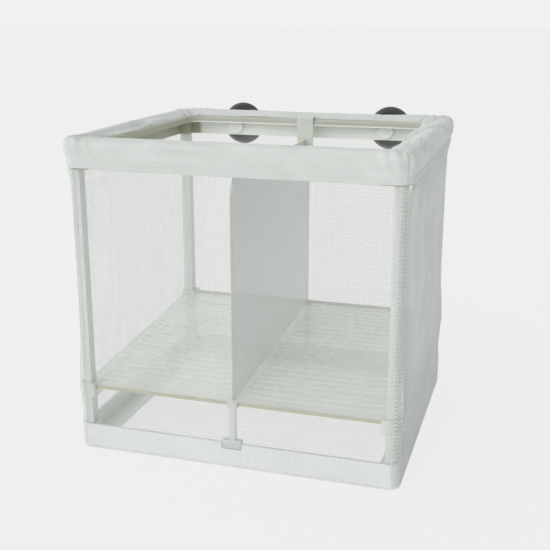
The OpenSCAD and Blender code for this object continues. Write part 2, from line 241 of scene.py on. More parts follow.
def stitches(line, normals, pitch, radius, rise):
    """A row of lock stitches along a line, each one dipping into the cloth at both ends."""
    places, out = resample(line, pitch), unit(resample_like(line, normals, pitch))
    t = np.linspace(0.06, 0.94, 5)[:, None]
    centre = places[:-1, None] * (1 - t) + places[1:, None] * t
    normal = unit(out[:-1, None] * (1 - t) + out[1:, None] * t)
    centre = centre + normal * (rise * np.sin(math.pi * t))
    return tubes(centre, normal, radius * np.array([0.7, 1, 1.05, 1, 0.7]), 5)


def resample_like(line, values, distance):
    """Values given at a line's points, at the places that resample gives."""
    gaps = np.linalg.norm(np.diff(line, axis=0), axis=1)
    run = np.concatenate([[0], np.cumsum(gaps)])
    count = max(2, int(round(run[-1] / distance)))
    at = np.linspace(0, run[-1], count + 1)
    return np.stack([np.interp(at, run, values[:, k]) for k in range(3)], -1)


# Materials
def new_material(name):
    material = bpy.data.materials.new(name)
    material.use_nodes = True
    tree = material.node_tree
    return material, tree, tree.nodes["Principled BSDF"]


def node(tree, kind, **values):
    made = tree.nodes.new(kind)
    for key, value in values.items():
        if key in made.inputs:
            made.inputs[key].default_value = value
        else:
            setattr(made, key, value)
    return made


def noise(tree, place, scale, detail=3.0):
    made = node(tree, "ShaderNodeTexNoise", Scale=scale, Detail=detail)
    tree.links.new(place, made.inputs["Vector"])
    return made.outputs["Fac"]


def ranged(tree, value, low, high, from_low=0.3, from_high=0.7):
    made = tree.nodes.new("ShaderNodeMapRange")
    made.inputs["From Min"].default_value = from_low
    made.inputs["From Max"].default_value = from_high
    made.inputs["To Min"].default_value = low
    made.inputs["To Max"].default_value = high
    tree.links.new(value, made.inputs["Value"])
    return made.outputs["Result"]


def tinted(tree, value, low, high):
    """A colour between two, by a value."""
    made = node(tree, "ShaderNodeMix", data_type="RGBA")
    for socket, colour in zip([s for s in made.inputs if s.type == "RGBA"], (low, high)):
        if isinstance(colour, tuple):
            socket.default_value = (*colour, 1)
        else:
            tree.links.new(colour, socket)
    tree.links.new(value, made.inputs[0])
    return [s for s in made.outputs if s.type == "RGBA"][0]


def bumped(tree, height, strength, distance, below=None):
    made = node(tree, "ShaderNodeBump", Strength=strength, Distance=distance)
    tree.links.new(height, made.inputs["Height"])
    if below is not None:
        tree.links.new(below, made.inputs["Normal"])
    return made.outputs["Normal"]


def maths(tree, operation, first, second):
    made = node(tree, "ShaderNodeMath", operation=operation)
    for socket, value in zip(made.inputs, (first, second)):
        if isinstance(value, (int, float)):
            socket.default_value = value
        else:
            tree.links.new(value, socket)
    return made.outputs[0]


def plastic(name, pale, deep, roughness, alpha=1.0, glow=0.0, coat=0.0, bands=()):
    """Moulded plastic: cloudy tone, faint flow marks, uneven gloss and a fine skin.

    A band is an axis, where along it another colour starts, is full and ends, and that colour.
    The last band of see-through plastic is a cut edge, which is nearly opaque.
    """
    material, tree, shader = new_material(name)
    place = tree.nodes.new("ShaderNodeTexCoord").outputs["Object"]
    stretch = node(tree, "ShaderNodeMapping", Scale=(1.0, 1.0, 0.25))
    tree.links.new(place, stretch.inputs["Vector"])
    cloud = noise(tree, stretch.outputs["Vector"], 38, 4)
    colour = tinted(tree, ranged(tree, cloud, 0, 1), pale, deep)
    shader.inputs["Alpha"].default_value = alpha
    for axis, start, full, end, other in bands:
        split = tree.nodes.new("ShaderNodeSeparateXYZ")
        tree.links.new(place, split.inputs[0])
        far = maths(tree, "ABSOLUTE", split.outputs[axis], 0)
        begun = ranged(tree, far, 0, 1, start, full)
        over = ranged(tree, far, 1, 0, end, end + 0.1 * MM)
        inside = maths(tree, "MULTIPLY", begun, over)
        colour = tinted(tree, inside, colour, other)
    if alpha < 1:
        tree.links.new(ranged(tree, inside, alpha, EDGE_ALPHA, 0, 1), shader.inputs["Alpha"])
    tree.links.new(colour, shader.inputs["Base Color"])
    gloss = noise(tree, place, 210, 5)
    tree.links.new(
        ranged(tree, gloss, roughness - 0.07, roughness + 0.09), shader.inputs["Roughness"]
    )
    skin = bumped(tree, noise(tree, place, 900, 3), 0.10, 0.0002)
    sink = bumped(tree, noise(tree, place, 60, 2), 0.25, 0.0006, skin)
    tree.links.new(sink, shader.inputs["Normal"])
    shader.inputs["IOR"].default_value = 1.49
    if glow:
        shader.inputs["Subsurface Weight"].default_value = glow
        shader.inputs["Subsurface Radius"].default_value = (1.0, 0.9, 0.7)
        shader.inputs["Subsurface Scale"].default_value = 0.004
    if coat:
        shader.inputs["Coat Weight"].default_value = coat
        shader.inputs["Coat Roughness"].default_value = 0.12
    return material


def thread(name, pale, deep, roughness=0.5, alpha=1.0):
    """Fine nylon thread with a slight unevenness along its length."""
    material, tree, shader = new_material(name)
    place = tree.nodes.new("ShaderNodeTexCoord").outputs["Object"]
    cloud = noise(tree, place, 55, 3)
    tree.links.new(tinted(tree, ranged(tree, cloud, 0, 1), pale, deep), shader.inputs["Base Color"])
    tree.links.new(
        ranged(tree, noise(tree, place, 700, 2), roughness - 0.1, roughness + 0.1),
        shader.inputs["Roughness"],
    )
    tree.links.new(bumped(tree, noise(tree, place, 2600, 2), 0.3, 0.00004), shader.inputs["Normal"])
    shader.inputs["Sheen Weight"].default_value = 0.15
    shader.inputs["Sheen Roughness"].default_value = 0.4
    shader.inputs["Alpha"].default_value = alpha
    return material


def woven(name, pale, deep, weave):
    """Dense cloth: warp and weft from its own map, uneven tone, soft sheen."""
    material, tree, shader = new_material(name)
    flat = node(tree, "ShaderNodeUVMap", uv_map="cloth").outputs["UV"]
    place = tree.nodes.new("ShaderNodeTexCoord").outputs["Object"]
    split = tree.nodes.new("ShaderNodeSeparateXYZ")
    tree.links.new(flat, split.inputs["Vector"])
    turns = 2 * math.pi / weave
    warp = maths(tree, "SINE", maths(tree, "MULTIPLY", split.outputs["X"], turns), 0)
    weft = maths(tree, "SINE", maths(tree, "MULTIPLY", split.outputs["Y"], turns), 0)
    crossing = maths(tree, "MULTIPLY", warp, weft)
    height = ranged(tree, crossing, 0, 1, -1, 1)
    cloud = noise(tree, place, 70, 4)
    mottle = maths(tree, "ADD", maths(tree, "MULTIPLY", height, 0.35), maths(tree, "MULTIPLY", cloud, 0.65))
    tree.links.new(
        tinted(tree, ranged(tree, mottle, 0, 1, 0.25, 0.75), deep, pale), shader.inputs["Base Color"]
    )
    weave_bump = bumped(tree, height, 0.55, 0.00012)
    tree.links.new(bumped(tree, cloud, 0.2, 0.0005, weave_bump), shader.inputs["Normal"])
    tree.links.new(ranged(tree, height, 0.62, 0.8, 0, 1), shader.inputs["Roughness"])
    shader.inputs["Sheen Weight"].default_value = 0.25
    shader.inputs["Sheen Roughness"].default_value = 0.45
    shader.inputs["Subsurface Weight"].default_value = 0.1
    shader.inputs["Subsurface Scale"].default_value = 0.001
    return material


def rubber(name):
    """Black moulded rubber: soft gloss, a little dust and bloom."""
    material, tree, shader = new_material(name)
    place = tree.nodes.new("ShaderNodeTexCoord").outputs["Object"]
    dust = noise(tree, place, 150, 6)
    tree.links.new(
        tinted(tree, ranged(tree, dust, 0, 1, 0.45, 0.75), (0.010, 0.010, 0.011), (0.032, 0.032, 0.034)),
        shader.inputs["Base Color"],
    )
    tree.links.new(ranged(tree, dust, 0.28, 0.5), shader.inputs["Roughness"])
    tree.links.new(bumped(tree, noise(tree, place, 1500, 3), 0.12, 0.0001), shader.inputs["Normal"])
    shader.inputs["IOR"].default_value = 1.52
    return material


EDGE_TINT = (0.53, 0.52, 0.40)
EDGE_ALPHA = 0.95
# Painted shade: the frame's rim and top, from 147 mm up, are painted darker and yellower than the same plastic lower
# down, which is left pale.
RIM_PAINTED_SHADE = (0.45, 0.455, 0.40)
# Painted shade: the side bars, from 65.5 mm out from the middle, are painted a darker khaki to stand in for the shade
# on their inner faces.
SIDE_BAR_PAINTED_SHADE = (0.41, 0.42, 0.315)
FRAME = plastic("moulded_ivory", (0.94, 0.965, 0.91), (0.89, 0.915, 0.86), 0.34, glow=0.15, coat=0.15,
                bands=[("Z", 147.0 * MM, 147.8 * MM, 1, RIM_PAINTED_SHADE), ("X", 65.5 * MM, 67.5 * MM, 1, SIDE_BAR_PAINTED_SHADE)])
HOOK = plastic("moulded_hook", (0.63, 0.665, 0.615), (0.57, 0.605, 0.555), 0.34, glow=0.5, coat=0.15)
WHITE = plastic("moulded_white", (0.82, 0.84, 0.825), (0.77, 0.79, 0.775), 0.34, glow=0.15, coat=0.15)
STRUTS = plastic("moulded_strut", (0.70, 0.73, 0.71), (0.65, 0.68, 0.66), 0.36, glow=0.5, coat=0.15)
POSTS = plastic("moulded_post", (0.71, 0.75, 0.715), (0.65, 0.69, 0.655), 0.36, glow=0.5, coat=0.15)
# Painted shade: the divider is painted darker from 40 mm up to 150 mm, against the stronger light on its upper part.
DIVIDER = plastic("frosted_divider", (0.86, 0.905, 0.875), (0.83, 0.875, 0.845), 0.16, alpha=0.84, coat=0.3,
                  bands=[("Z", 40 * MM, 150 * MM, 1, (0.61, 0.655, 0.63)), ("Y", 66.1 * MM, 66.5 * MM, 1, EDGE_TINT)])
FLOOR = plastic("frosted_floor", (0.90, 0.935, 0.89), (0.85, 0.885, 0.84), 0.22, alpha=0.54, coat=0.2,
                bands=[("Y", 67.3 * MM, 67.7 * MM, 68.1 * MM, EDGE_TINT)])
THREAD = thread("net_thread", (0.84, 0.87, 0.85), (0.76, 0.79, 0.77), alpha=0.45)
# Painted shade: the right panel's threads are a darker copy of the net thread, for the shade on that side.
RIGHT_THREAD_PAINTED_SHADE = thread("right_net_thread_painted_shade", (0.75, 0.78, 0.76), (0.68, 0.71, 0.69))
# Painted light: the seams' threads are a paler copy of the net thread, against the shade between the layers and the
# posts.
SEAM_THREAD_PAINTED_LIGHT = thread("seam_net_thread_painted_light", (0.93, 0.95, 0.93), (0.87, 0.89, 0.87), alpha=0.35)
# Painted light: the bottom panel's threads are a paler copy of the net thread, against the shade under the floor.
BOTTOM_THREAD_PAINTED_LIGHT = thread("bottom_net_thread_painted_light", (0.90, 0.92, 0.90), (0.84, 0.86, 0.84), alpha=0.32)
SEWING = thread("sewing_thread", (0.82, 0.85, 0.83), (0.75, 0.78, 0.76), 0.5)
HEM_SEWING = thread("hem_sewing_thread", (0.70, 0.735, 0.705), (0.63, 0.665, 0.635), 0.5)
CLOTH = woven("hem_cloth", (0.68, 0.715, 0.685), (0.565, 0.60, 0.57), 0.9 * MM)
ELASTIC = thread("elastic_cover", (0.75, 0.77, 0.74), (0.62, 0.64, 0.60), 0.6)
RUBBER = rubber("black_rubber")


# Moulded parts keep their CAD shapes, with worn edges
def dress(name, material, edge=0.0):
    piece = nodes[name]
    for held in piece.material_slots:
        held.material = material
    if edge:
        weld = piece.modifiers.new("weld", "WELD")
        weld.merge_threshold = 1e-6
        bevel = piece.modifiers.new("edges", "BEVEL")
        bevel.width = edge
        bevel.segments = 2
        bevel.limit_method = "ANGLE"
        bevel.angle_limit = math.radians(40)
        bevel.harden_normals = False
        bevel.use_clamp_overlap = True
        weighted = piece.modifiers.new("normals", "WEIGHTED_NORMAL")
        weighted.keep_sharp = True


dress("top_frame", FRAME, 0.2 * MM)
dress("divider_hook", HOOK, 0.2 * MM)
dress("bottom_frame", WHITE, 0.2 * MM)
for name in ("strut_front", "strut_rear"):
    dress(name, STRUTS, 0.2 * MM)
for name in ("post_front_left", "post_front_right", "post_rear_left", "post_rear_right"):
    dress(name, POSTS, 0.35 * MM)
dress("slotted_floor", FLOOR, 0.15 * MM)
dress("divider_panel", DIVIDER, 0.15 * MM)


# Net panels
HEIGHTS = MM * np.array([
    0.30, 0.40, 0.55, 0.85, 1.3, 6, 13, 16, 19, 22, 25.5, 28, 30.5, 33, 36, 39, 42, 46, 51, 57, 64, 72,
    82, 92, 102, 112, 120, 126, 130, 133, 135.5, 137.5, 138.9, 140, 141,
])


def spread(half, count):
    """Places from -half to half, closer together towards the ends."""
    return half * np.sin(np.linspace(-1, 1, count) * math.pi / 2)


def wall_threads(side):
    half = half_sizes(side)[0]
    columns = int(round(2 * half / PITCH))
    along = (np.arange(columns) + 0.5) / columns * 2 * half - half
    a, z = np.meshgrid(along, HEIGHTS, indexing="ij")
    upright = on_wall(side, a, 0 * a, net_out(side, a, z) + 0.5 * THREAD_R, z)
    rows = np.arange(1.3 * MM, NET_TOP, PITCH)
    z, a = np.meshgrid(rows, spread(half, 33), indexing="ij")
    level = on_wall(side, a, 0 * a, net_out(side, a, z) - 0.5 * THREAD_R, z)
    normal = wall_normal(side, np.zeros(1), np.zeros(1))[0]
    heavy = RIB if side == RIGHT else 1.0
    weft = THREAD_R * np.where(np.arange(len(rows)) % 3, 1.0, heavy)[:, None]
    return [tubes(upright, normal, THREAD_R), tubes(level, normal, weft)]


def map_flat(piece, side=None):
    """The piece's bake map: its threads as they lie in the panel."""
    co = np.empty(len(piece.data.vertices) * 3, np.float32)
    piece.data.vertices.foreach_get("co", co)
    co = co.reshape(-1, 3)
    uv = co[:, :2] if side is None else co[:, [0, 2]] if side in (FRONT, REAR) else co[:, 1:]
    low, high = uv.min(0), uv.max(0)
    add_uv(piece, "OFBake", 0.01 + 0.98 * (uv - low) / (high - low))


for side in range(4):
    # The right panel gets the darker thread with painted shade.
    material = RIGHT_THREAD_PAINTED_SHADE if side == RIGHT else THREAD
    panel = make_piece("net_panel_" + SIDE_NAMES[side], wall_threads(side), material)
    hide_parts("net_" + SIDE_NAMES[side])
    map_flat(panel, side)


def bottom_threads():
    parts = []
    for across, half, other in ((False, CORNER_X, CORNER_Y), (True, CORNER_Y, CORNER_X)):
        reach = other + BOTTOM_TURN
        count = int(round(2 * reach / BOTTOM_PITCH))
        at = (np.arange(count) + 0.5) / count * 2 * reach - reach
        past = np.maximum(np.abs(at) - other, 0)
        end = half + np.sqrt(BOTTOM_TURN ** 2 - past ** 2)
        t = np.linspace(-1, 1, 13)
        run = end[:, None] * t
        lift = 0.03 * MM * np.sin(run / (6 * MM) + at[:, None] / (9 * MM))
        z = NET_FLAT_LOW + (0.5 if across else -0.5) * BOTTOM_R + lift
        x, y = (at[:, None] + 0 * run, run) if across else (run, at[:, None] + 0 * run)
        parts.append(tubes(np.stack([x, y, z], -1), np.array([0.0, 0.0, 1.0]), BOTTOM_R))
    return parts


net_bottom = make_piece("net_panel_bottom", bottom_threads(), BOTTOM_THREAD_PAINTED_LIGHT)
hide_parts("net_bottom")
map_flat(net_bottom)


# Corner seams: two layers of net, overlapped and sewn
def arc_line(corner, angle, height, out=0.0):
    """Points on the net at a corner; corner n is at the right end of side n."""
    half = half_sizes(corner)[0]
    return on_wall(corner, half, angle, net_out(corner, half + 0 * height, height) + out, height)


def seam_parts(corner):
    parts = []
    quarter = math.pi / 2
    angles = (np.arange(9) + 0.5) / 9 * quarter
    for layer, out in ((0, 0.5 * THREAD_R), (1, -1.8 * THREAD_R)):
        turn = angles + layer * 0.25 * quarter / 9
        a, z = np.meshgrid(turn, HEIGHTS, indexing="ij")
        parts.append(tubes(arc_line(corner, a, z, out), wall_normal(corner, a, z), THREAD_R))
        rows = np.arange(1.3 * MM + layer * 0.5 * PITCH, NET_TOP, PITCH)
        z, a = np.meshgrid(rows, np.linspace(0, quarter, 9), indexing="ij")
        parts.append(
            tubes(arc_line(corner, a, z, out - THREAD_R), wall_normal(corner, a, z), THREAD_R)
        )
    return parts


def seam_stitches(corner):
    parts = []
    z = np.linspace(1.6 * MM, HEM_LOW - 0.3 * MM, 240)
    for angle in (0.32, math.pi / 2 - 0.32):
        line = arc_line(corner, np.full_like(z, angle), z, 0.12 * MM)
        parts.append(stitches(line, wall_normal(corner, angle, z), 2.1 * MM, 0.13 * MM, 0.12 * MM))
    count = int((HEM_LOW - 2.4 * MM) / RUNG)
    zigs = 1.8 * MM + RUNG * (np.arange(2 * count) // 2 + 0.15 * (np.arange(2 * count) % 2))
    turn = np.where(np.arange(2 * count) % 2, 0.34, math.pi / 2 - 0.34)
    line = arc_line(corner, turn, zigs, 0.14 * MM)
    normal = wall_normal(corner, turn, zigs)
    t = np.linspace(0, 1, 5)[:, None]
    mid = line[:-1, None] * (1 - t) + line[1:, None] * t
    out = unit(normal[:-1, None] * (1 - t) + normal[1:, None] * t)
    angle = (turn[:-1, None] * (1 - t[:, 0]) + turn[1:, None] * t[:, 0])
    z = zigs[:-1, None] * (1 - t[:, 0]) + zigs[1:, None] * t[:, 0]
    mid = arc_line(corner, angle, z, 0.14 * MM)
    parts.append(tubes(mid, out, 0.12 * MM, 4))
    return parts


CORNERS = ("front_right", "rear_right", "rear_left", "front_left")
seams, sewn = {}, {}
for corner, where in enumerate(CORNERS):
    seams[corner] = make_piece("seam_" + where, seam_parts(corner), SEAM_THREAD_PAINTED_LIGHT)
    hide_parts("net_seam_" + where)
    sewn[corner] = make_piece("seam_stitches_" + where, seam_stitches(corner), SEWING)


# Bottom edge: an overlock seam that joins the bottom panel to the walls
def round_the_box(out, height, step_size):
    """A closed line round the box, as points with the outward direction at each."""
    points, normals = [], []
    for side in range(4):
        half = half_sizes(side)[0]
        straight = np.linspace(-half, half, int(2 * half / step_size), endpoint=False)
        turn = np.linspace(0, math.pi / 2, 10, endpoint=False)
        points += [on_wall(side, straight, 0 * straight, out, height), on_wall(side, half, turn, out, height)]
        normals += [wall_normal(side, 0 * straight, straight), wall_normal(side, turn, turn)]
    points, normals = np.concatenate(points), np.concatenate(normals)
    return np.concatenate([points, points[:1]]), np.concatenate([normals, normals[:1]])


def overlock():
    inner, out = round_the_box(BOTTOM_TURN, 0.22 * MM, MM)
    outer, _ = round_the_box(5.25 * MM, 1.7 * MM, MM)
    corner, _ = round_the_box(5.2 * MM, 0.45 * MM, MM)
    pitch = 1.5 * MM
    low, high, bend = resample(inner, pitch), resample(outer, pitch), resample(corner, pitch)
    count = min(len(low), len(high), len(bend)) - 1
    out = unit(resample_like(inner, out, pitch))[:count]
    low, high, bend = (
        np.stack([np.interp(np.linspace(0, 1, count + 1), np.linspace(0, 1, len(p)), p[:, k])
                  for k in range(3)], -1) for p in (low, high, bend)
    )
    up = np.stack([low[:-1], bend[:-1], 0.5 * (bend[:-1] + high[:-1]), high[:-1]], 1)
    down = np.stack([high[:-1], 0.5 * (bend[1:] + high[:-1]), bend[1:], low[1:]], 1)
    return [tubes(path, out[:, None], 0.08 * MM, 4) for path in (up, down)]


bottom_stitches = make_piece("seam_stitches_bottom", overlock(), SEWING)


# Hem: four strips of dense cloth, sewn round the net's mouth and folded over the top frame
HEM_THICK = 0.45 * MM
SKIRT_OUT = 5.6
ROLL = 2.2
ROLL_R = 2.5
LIP_OUT = 0.35
SKIRT = [(0, 139.62), (0, 139.9), (0, 140.9), (0, 142), (0, 143.1), (0, 144.2), (0, 145.3), (0, 146.4),
         (-0.06, 147.5), (-0.16, 148.5), (-0.25, 149.4)]
TURN = [(ROLL - ROLL_R * math.cos(a), 150.3 + ROLL_R * math.sin(a)) for a in np.linspace(0, math.pi / 2, 8)]
OVER = [(3.2, 152.76), (4.3, 152.62), (5.4, 152.42), (6.5, 152.2), (7.6, 151.98), (8.7, 151.75), (9.6, 151.5),
        (10.4, 151.2), (11.0, 150.85), (11.45, 150.42), (11.75, 149.9), (11.9, 149.3), (11.95, 148.7),
        (11.9, 148.1)]
BARE = [(2.8, 152.74), (3.4, 152.58), (4.0, 152.34), (4.5, 152.06), (5.0, 151.76), (5.4, 151.46),
        (5.8, 151.16), (6.1, 150.9), (6.4, 150.66), (6.65, 150.46), (6.9, 150.28), (7.1, 150.14),
        (7.25, 150.02), (7.35, 149.92)]
BARE_TURN = 5 * MM
LEFT_REACH = 1.9
CUP_X = 44 * MM
CUP_Z = 144.5 * MM


def puckers(run, side):
    """The gathers that the elastic pulls into the cloth, from -1 to 1, by millimetres along it."""
    r = run + 61 * side
    drift = 2.2 * np.sin(r / 23) + 1.4 * np.sin(r / 41 + 2)
    return 0.45 * np.sin(r / 1.55 + drift) + 0.3 * np.sin(r / 2.6 - drift + 1) + 0.25 * np.sin(r / 4.9 + side)


def folds(run, across, side):
    """Soft folds that run along a bar, from 0 to 1, by millimetres along and across the cloth."""
    r = run + 61 * side
    drift = 1.7 * np.sin(r / 21) + 0.9 * np.sin(r / 8.7 + 1)
    close = np.sin(across / 1.15 + drift) * (0.6 + 0.4 * np.sin(r / 31 + across / 9))
    wide = np.sin(across / 2.3 - 0.8 * drift + r / 26)
    return 0.5 + 0.28 * close + 0.22 * wide


def creases(run, across, side):
    """Short sharp creases that slant along a bar, from -1 to 1, by millimetres."""
    r = run + 61 * side
    drift = 2.1 * np.sin(r / 17 + 2) + 1.2 * np.sin(r / 6.3)
    line = np.sin(across / 0.62 + drift + r / 9)
    there = step(0.1, 0.7, np.sin(r / 11 + across / 2.7 + side) + 0.4 * np.sin(r / 4.1 - across / 3.3))
    return (1 - 2 * np.abs(line) ** 0.7) * there


def finer(profile):
    """A profile with a point between each two, on a smooth curve through them."""
    padded = np.concatenate([2 * profile[:1] - profile[1:2], profile, 2 * profile[-1:] - profile[-2:-1]])
    between = (9 * (padded[1:-2] + padded[2:-1]) - padded[:-3] - padded[3:]) / 16
    woven_in = np.empty((2 * len(profile) - 1, 2))
    woven_in[::2], woven_in[1::2] = profile, between
    return woven_in


def hem_grid(side):
    """Points of a strip: rows from the skirt's lower edge to the lip, columns along the side."""
    half, depth = half_sizes(side)
    inner_half = half - (CORNER_X - OPEN_X + OPENING_R)
    inner_depth = depth - (CORNER_X - OPEN_X + OPENING_R)
    turn = np.linspace(0, math.pi / 4, 9)[1:]
    along = np.linspace(-half, half, int(2 * half / MM))
    along = np.concatenate([np.full(8, -half), along, np.full(8, half)])
    angle = np.concatenate([-turn[::-1], np.zeros(len(along) - 16), turn])
    run = (along + 5 * MM * angle) / MM
    profile = np.array(SKIRT + TURN + OVER)
    bare = np.array(SKIRT + TURN + BARE)
    bare[-len(BARE):, 0] += (LEFT_REACH if side == LEFT else 0) * np.linspace(0, 1, len(BARE))
    profile, bare = finer(profile), finer(bare)
    inset, z = profile[:, :1], profile[:, 1:]
    if side in (REAR, LEFT):
        far = -1 if side == REAR else 1
        place = far * (along * inner_half / half + OPENING_R * np.sin(angle))
        share = step(inner_half + BARE_TURN, inner_half, place)
        inset = inset + (bare[:, :1] - inset) * share
        z = z + (bare[:, 1:] - z) * share
    inset, z = inset + 0 * run, z + 0 * run
    near_corner = np.exp(-(((half - np.abs(along)) / MM / 9) ** 2))
    out = SKIRT_OUT - np.minimum(inset, ROLL)
    foot = step(141.5, 139.6, z)
    z = z + foot * 0.12 * np.sin(run / 6.1 + side)
    outer = np.stack([along + out * MM * np.sin(angle), -depth - out * MM * np.cos(angle)], -1)
    wave = 0.6 * np.sin(run / 12.7 + 1.9 * side) + 0.35 * np.sin(run / 7.1 + side + 1) + 0.75
    reach = OPENING_R - (LIP_OUT + wave * step(1.0, 0.3, near_corner)) * MM
    inner = np.stack([
        along * inner_half / half + reach * np.sin(angle), -inner_depth - reach * np.cos(angle) + 0 * along
    ], -1)
    full = (SKIRT_OUT + half_sizes(FRONT)[0] / MM) - (OPEN_X / MM - LIP_OUT)
    share_in = np.clip((inset - ROLL) / (full - ROLL), 0, None)[..., None]
    xy = outer + (inner - outer) * share_in
    grid = turned(side, xy[..., 0], xy[..., 1], z * MM)
    length = np.concatenate([np.zeros((1, len(run))), np.cumsum(np.linalg.norm(np.diff(grid, axis=0), axis=2), 0)])
    cloth = np.stack([np.broadcast_to(run * MM, length.shape), length], -1)
    across = length / MM
    free = step(3.2, 5.5, across) * step(1.0, 0.6, np.abs(angle) * 4 / math.pi)
    if side == REAR:
        free = free * (1 - np.exp(-(((np.abs(along) - CUP_X) / MM / 7) ** 2)) * step(12.5, 10.0, across))
    raised = (1.3 if side == RIGHT else 0.9) * folds(run, across, side)
    raised = raised + (0.40 if side == RIGHT else 0.16) * creases(run, across, side)
    raised = raised + (0.10 + 0.35 * near_corner) * step(11, 14, across) * puckers(run, side)
    raised = raised + 0.4 * near_corner * step(4, 8, across) * np.sin((run + 61 * side) / 0.8 + across / 2.6)
    normal = unit(np.cross(np.gradient(grid, axis=1), np.gradient(grid, axis=0)))
    return grid + normal * (free * raised)[..., None] * MM, cloth


hems, hem_pieces = {}, {}
for side in range(4):
    grid, cloth = hem_grid(side)
    keep = None
    if side == REAR:
        centre = (grid[:-1, :-1] + grid[1:, 1:]) / 2
        spot = np.hypot(np.abs(centre[..., 0]) - CUP_X, centre[..., 2] - CUP_Z)
        keep = (spot > 2.75 * MM) | (centre[..., 1] < CORNER_Y)
    part = cloth_shell(grid, HEM_THICK, keep)
    strip = make_piece("hem_strip_" + SIDE_NAMES[side], [part], CLOTH)
    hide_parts("hem_" + SIDE_NAMES[side])
    uv = np.concatenate([cloth.reshape(-1, 2)] * 2)
    mesh_count = len(strip.data.vertices)
    add_uv(strip, "cloth", uv[:mesh_count])
    hems[side] = (grid, cloth)
    hem_pieces[side] = strip


def grid_line(grid, row):
    """A line on the cloth's outer face along one row of the grid, with its outward direction."""
    normal = unit(np.cross(np.gradient(grid, axis=1), np.gradient(grid, axis=0)))
    return grid[row] + normal[row] * HEM_THICK / 2, normal[row]


def hem_stitches(side):
    grid = hems[side][0]
    parts = []
    for row in (4, 6):
        line, normal = grid_line(grid, row)
        parts.append(stitches(line, normal, 2.3 * MM, 0.13 * MM, 0.10 * MM))
    return parts


for side in range(4):
    make_piece(
        "hem_stitches_" + SIDE_NAMES[side], hem_stitches(side), HEM_SEWING
    )


# Buttonholes in the rear hem, where the necks of the cups pass
def buttonhole(x):
    parts = []
    y = CORNER_Y + (SKIRT_OUT + 0.25) * MM
    turn = np.linspace(0, 2 * math.pi, 49)
    ring = np.stack([x + 3.0 * MM * np.cos(turn), y + 0 * turn, CUP_Z + 3.0 * MM * np.sin(turn)], -1)
    parts.append(tubes(ring[None], np.array([0.0, 1.0, 0.0]), 0.38 * MM, 8))
    spokes = np.linspace(0, 2 * math.pi, 40, endpoint=False)
    t = np.linspace(0, math.pi, 7)
    radial = np.stack([np.cos(spokes), 0 * spokes, np.sin(spokes)], -1)[:, None]
    bow = (3.15 * MM - 0.62 * MM * np.cos(t))[:, None] * radial
    rise = (0.46 * MM * np.sin(t))[:, None] * np.array([0.0, 1.0, 0.0])
    centre = np.array([x, y, CUP_Z]) + bow + rise
    across = np.stack([-np.sin(spokes), 0 * spokes, np.cos(spokes)], -1)[:, None] + 0 * centre
    parts.append(tubes(centre, across, 0.13 * MM, 4))
    return parts


eyelets = make_piece("hem_buttonholes", buttonhole(-CUP_X) + buttonhole(CUP_X), SEWING)


# Elastic: a covered cord in the trough, under the hem
def elastic():
    inset = 5.1 * MM
    x, y, r = frame_high.x - inset, frame_high.y - inset, 6 * MM
    z = FRAME_TOP - 1.5 * MM + 0.65 * MM
    points = []
    for k in range(4):
        hx, hy = (x, y) if k % 2 == 0 else (y, x)
        straight = np.linspace(-(hx - r), hx - r, int(2 * (hx - r) / (0.9 * MM)), endpoint=False)
        turn = np.linspace(0, math.pi / 2, 12, endpoint=False)
        points.append(turned((k + 2) % 4, straight, -hy + 0 * straight, z + 0 * straight))
        points.append(turned((k + 2) % 4, hx - r + r * np.sin(turn), -(hy - r) - r * np.cos(turn), z + 0 * turn))
    line = resample(np.concatenate(points), 0.45 * MM)
    i = np.arange(len(line))
    radius = 0.52 * MM + 0.03 * MM * np.sin(i * 2.1)
    return [tubes(line[None], np.array([0.0, 0.0, 1.0]), radius, 8)]


elastic_cord = make_piece("hem_elastic_cord", elastic(), ELASTIC)
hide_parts("hem_elastic")


# Suction cups
def lathe(x, profile, count=96):
    """A closed turned shape about a line along +Y at a cup's place, from radius and Y pairs."""
    radius, y = np.array(profile, float).T * MM
    turn = 2 * math.pi * np.arange(count) / count
    body = np.stack([
        x + radius[1:-1, None] * np.cos(turn), y[1:-1, None] + 0 * turn, CUP_Z + radius[1:-1, None] * np.sin(turn)
    ], -1)
    rows = len(profile) - 2
    points = np.concatenate([body.reshape(-1, 3), [[x, y[0], CUP_Z], [x, y[-1], CUP_Z]]])
    index = np.arange(rows * count).reshape(rows, count)
    quads = np.stack([index[:-1], index[1:], np.roll(index[1:], -1, 1), np.roll(index[:-1], -1, 1)], -1).reshape(-1, 4)
    first = np.stack([np.full(count, rows * count), index[0], np.roll(index[0], -1)], -1)
    last = np.stack([np.full(count, rows * count + 1), np.roll(index[-1], -1), index[-1]], -1)
    return points, [quads, first, last]


def smoothed(knots, steps=4):
    """More points on a smooth line through the knots; a knot given twice stays a sharp corner."""
    out = []
    p = [np.array(k, float) for k in knots]
    for i in range(len(p) - 1):
        a, b = p[i], p[i + 1]
        if np.allclose(a, b):
            continue
        before = p[i - 1] if i and not np.allclose(p[i - 1], a) else a
        after = p[i + 2] if i + 2 < len(p) and not np.allclose(p[i + 2], b) else b
        if i and np.allclose(p[i - 1], a):
            before = a
        for t in np.arange(steps) / steps:
            out.append(0.5 * (2 * a + (b - before) * t + (2 * before - 5 * a + 4 * b - after) * t * t
                              + (3 * a - before - 3 * b + after) * t ** 3))
    return [tuple(q) for q in out] + [tuple(p[-1])]


